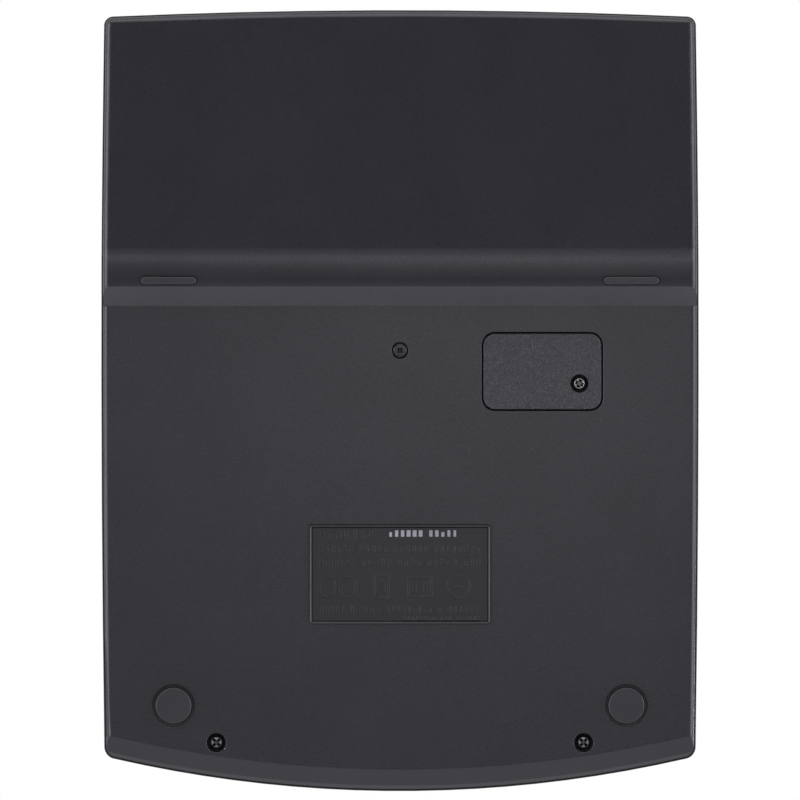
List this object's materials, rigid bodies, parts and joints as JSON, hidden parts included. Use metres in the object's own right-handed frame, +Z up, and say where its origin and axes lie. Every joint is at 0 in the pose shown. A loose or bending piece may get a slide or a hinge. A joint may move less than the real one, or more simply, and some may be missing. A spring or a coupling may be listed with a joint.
{
  "type": "desk calculator",
  "caption": "Black desk calculator on a rear foot bar and round front feet, with a raised display end, press keys, slide switches, a solar cell and a screwed battery cover.",
  "frame": {"origin": "middle of the bounding box in plan, on the surface that the feet stand on", "axes": "+Z up, +Y towards the display end, +X to the right of a person at the keys"},
  "size_m": [0.155, 0.2024, 0.0343],
  "materials": {
    "case_plastic": "fine moulded texture, black",
    "face_metal": "brushed, black anodised",
    "window_acrylic": "clear polished acrylic",
    "lcd_glass": "grey-green liquid crystal glass",
    "dark_plastic": "plain moulded, black",
    "flex_film": "amber film",
    "solar_glass": "dark cells under glass",
    "lead_sleeve": "insulated wire",
    "board_laminate": "paper laminate with solder mask",
    "keypad_rubber": "moulded silicone",
    "battery_steel": "nickel plated",
    "contact_steel": "plated spring strip",
    "screw_steel": "zinc plated",
    "screw_black": "black oxide",
    "foot_rubber": "matt moulded",
    "key_light": "satin moulded, light grey",
    "key_dark": "satin moulded, dark grey",
    "key_red": "satin moulded, red"
  },
  "bodies": {
    "case": {"upper_case": "case_plastic", "lower_case": "case_plastic", "faceplate": "face_metal", "display_window": "window_acrylic", "lcd_panel": "lcd_glass", "lcd_frame": "dark_plastic", "lcd_ribbon": "flex_film", "solar_cell": "solar_glass", "solar_leads": "lead_sleeve", "main_board": "board_laminate", "rubber_keypad": "keypad_rubber", "chip_blob": "dark_plastic", "capacitor": "dark_plastic", "battery": "battery_steel", "battery_contact_plus": "contact_steel", "battery_contact_minus": "contact_steel", "case_screws": "screw_black", "board_screws": "screw_steel", "foot_front_left": "foot_rubber", "foot_front_right": "foot_rubber", "foot_strip_left": "foot_rubber", "foot_strip_right": "foot_rubber"},
    "key_all_clear": {"key_all_clear": "key_red"},
    "key_0": {"key_0": "key_light"},
    "key_decimal_point": {"key_decimal_point": "key_light"},
    "key_equals": {"key_equals": "key_dark"},
    "key_clear": {"key_clear": "key_red"},
    "key_1": {"key_1": "key_light"},
    "key_2": {"key_2": "key_light"},
    "key_3": {"key_3": "key_light"},
    "key_plus": {"key_plus": "key_dark"},
    "key_square_root": {"key_square_root": "key_dark"},
    "key_4": {"key_4": "key_light"},
    "key_5": {"key_5": "key_light"},
    "key_6": {"key_6": "key_light"},
    "key_minus": {"key_minus": "key_dark"},
    "key_percent": {"key_percent": "key_dark"},
    "key_7": {"key_7": "key_light"},
    "key_8": {"key_8": "key_light"},
    "key_9": {"key_9": "key_light"},
    "key_multiply": {"key_multiply": "key_dark"},
    "key_memory_clear": {"key_memory_clear": "key_dark"},
    "key_memory_recall": {"key_memory_recall": "key_dark"},
    "key_memory_minus": {"key_memory_minus": "key_dark"},
    "key_memory_plus": {"key_memory_plus": "key_dark"},
    "key_divide": {"key_divide": "key_dark"},
    "key_grand_total": {"key_grand_total": "key_dark"},
    "key_mark_up": {"key_mark_up": "key_dark"},
    "key_backspace": {"key_backspace": "key_dark"},
    "decimal_switch": {"decimal_switch_knob": "key_dark", "decimal_switch_wiper": "contact_steel"},
    "rounding_switch": {"rounding_switch_knob": "key_dark", "rounding_switch_wiper": "contact_steel"},
    "battery_cover": {"battery_cover": "case_plastic", "battery_cover_screw": "screw_steel"}
  },
  "joints": [
    {"name": "decimal_switch_slide", "type": "slide", "parent": "case", "child": "decimal_switch", "axis": [1, 0, 0], "range_m": [0, 0.011]},
    {"name": "rounding_switch_slide", "type": "slide", "parent": "case", "child": "rounding_switch", "axis": [1, 0, 0], "range_m": [-0.0025, 0.0025]},
    {"name": "battery_cover_lift", "type": "slide", "parent": "case", "child": "battery_cover", "axis": [0, 0.0454, -0.999], "range_m": [0, 0.012]},
    {"name": "key_all_clear_press", "type": "slide", "parent": "case", "child": "key_all_clear", "axis": [0, 0.0913, -0.9958], "range_m": [0, 0.0018], "stiffness_N_per_m": 300, "deforming": ["rubber_keypad"]},
    {"name": "key_0_press", "type": "slide", "parent": "case", "child": "key_0", "axis": [0, 0.0913, -0.9958], "range_m": [0, 0.0018], "stiffness_N_per_m": 300, "deforming": ["rubber_keypad"]},
    {"name": "key_decimal_point_press", "type": "slide", "parent": "case", "child": "key_decimal_point", "axis": [0, 0.0913, -0.9958], "range_m": [0, 0.0018], "stiffness_N_per_m": 300, "deforming": ["rubber_keypad"]},
    {"name": "key_equals_press", "type": "slide", "parent": "case", "child": "key_equals", "axis": [0, 0.0913, -0.9958], "range_m": [0, 0.0018], "stiffness_N_per_m": 300, "deforming": ["rubber_keypad"]},
    {"name": "key_clear_press", "type": "slide", "parent": "case", "child": "key_clear", "axis": [0, 0.0913, -0.9958], "range_m": [0, 0.0018], "stiffness_N_per_m": 300, "deforming": ["rubber_keypad"]},
    {"name": "key_1_press", "type": "slide", "parent": "case", "child": "key_1", "axis": [0, 0.0913, -0.9958], "range_m": [0, 0.0018], "stiffness_N_per_m": 300, "deforming": ["rubber_keypad"]},
    {"name": "key_2_press", "type": "slide", "parent": "case", "child": "key_2", "axis": [0, 0.0913, -0.9958], "range_m": [0, 0.0018], "stiffness_N_per_m": 300, "deforming": ["rubber_keypad"]},
    {"name": "key_3_press", "type": "slide", "parent": "case", "child": "key_3", "axis": [0, 0.0913, -0.9958], "range_m": [0, 0.0018], "stiffness_N_per_m": 300, "deforming": ["rubber_keypad"]},
    {"name": "key_plus_press", "type": "slide", "parent": "case", "child": "key_plus", "axis": [0, 0.0913, -0.9958], "range_m": [0, 0.0018], "stiffness_N_per_m": 300, "deforming": ["rubber_keypad"]},
    {"name": "key_square_root_press", "type": "slide", "parent": "case", "child": "key_square_root", "axis": [0, 0.0913, -0.9958], "range_m": [0, 0.0018], "stiffness_N_per_m": 300, "deforming": ["rubber_keypad"]},
    {"name": "key_4_press", "type": "slide", "parent": "case", "child": "key_4", "axis": [0, 0.0913, -0.9958], "range_m": [0, 0.0018], "stiffness_N_per_m": 300, "deforming": ["rubber_keypad"]},
    {"name": "key_5_press", "type": "slide", "parent": "case", "child": "key_5", "axis": [0, 0.0913, -0.9958], "range_m": [0, 0.0018], "stiffness_N_per_m": 300, "deforming": ["rubber_keypad"]},
    {"name": "key_6_press", "type": "slide", "parent": "case", "child": "key_6", "axis": [0, 0.0913, -0.9958], "range_m": [0, 0.0018], "stiffness_N_per_m": 300, "deforming": ["rubber_keypad"]},
    {"name": "key_minus_press", "type": "slide", "parent": "case", "child": "key_minus", "axis": [0, 0.0913, -0.9958], "range_m": [0, 0.0018], "stiffness_N_per_m": 300, "deforming": ["rubber_keypad"]},
    {"name": "key_percent_press", "type": "slide", "parent": "case", "child": "key_percent", "axis": [0, 0.0913, -0.9958], "range_m": [0, 0.0018], "stiffness_N_per_m": 300, "deforming": ["rubber_keypad"]},
    {"name": "key_7_press", "type": "slide", "parent": "case", "child": "key_7", "axis": [0, 0.0913, -0.9958], "range_m": [0, 0.0018], "stiffness_N_per_m": 300, "deforming": ["rubber_keypad"]},
    {"name": "key_8_press", "type": "slide", "parent": "case", "child": "key_8", "axis": [0, 0.0913, -0.9958], "range_m": [0, 0.0018], "stiffness_N_per_m": 300, "deforming": ["rubber_keypad"]},
    {"name": "key_9_press", "type": "slide", "parent": "case", "child": "key_9", "axis": [0, 0.0913, -0.9958], "range_m": [0, 0.0018], "stiffness_N_per_m": 300, "deforming": ["rubber_keypad"]},
    {"name": "key_multiply_press", "type": "slide", "parent": "case", "child": "key_multiply", "axis": [0, 0.0913, -0.9958], "range_m": [0, 0.0018], "stiffness_N_per_m": 300, "deforming": ["rubber_keypad"]},
    {"name": "key_memory_clear_press", "type": "slide", "parent": "case", "child": "key_memory_clear", "axis": [0, 0.0913, -0.9958], "range_m": [0, 0.0018], "stiffness_N_per_m": 300, "deforming": ["rubber_keypad"]},
    {"name": "key_memory_recall_press", "type": "slide", "parent": "case", "child": "key_memory_recall", "axis": [0, 0.0913, -0.9958], "range_m": [0, 0.0018], "stiffness_N_per_m": 300, "deforming": ["rubber_keypad"]},
    {"name": "key_memory_minus_press", "type": "slide", "parent": "case", "child": "key_memory_minus", "axis": [0, 0.0913, -0.9958], "range_m": [0, 0.0018], "stiffness_N_per_m": 300, "deforming": ["rubber_keypad"]},
    {"name": "key_memory_plus_press", "type": "slide", "parent": "case", "child": "key_memory_plus", "axis": [0, 0.0913, -0.9958], "range_m": [0, 0.0018], "stiffness_N_per_m": 300, "deforming": ["rubber_keypad"]},
    {"name": "key_divide_press", "type": "slide", "parent": "case", "child": "key_divide", "axis": [0, 0.0913, -0.9958], "range_m": [0, 0.0018], "stiffness_N_per_m": 300, "deforming": ["rubber_keypad"]},
    {"name": "key_grand_total_press", "type": "slide", "parent": "case", "child": "key_grand_total", "axis": [0, 0.0913, -0.9958], "range_m": [0, 0.0018], "stiffness_N_per_m": 300, "deforming": ["rubber_keypad"]},
    {"name": "key_mark_up_press", "type": "slide", "parent": "case", "child": "key_mark_up", "axis": [0, 0.0913, -0.9958], "range_m": [0, 0.0018], "stiffness_N_per_m": 300, "deforming": ["rubber_keypad"]},
    {"name": "key_backspace_press", "type": "slide", "parent": "case", "child": "key_backspace", "axis": [0, 0.0913, -0.9958], "range_m": [0, 0.0018], "stiffness_N_per_m": 300, "deforming": ["rubber_keypad"]}
  ]
}
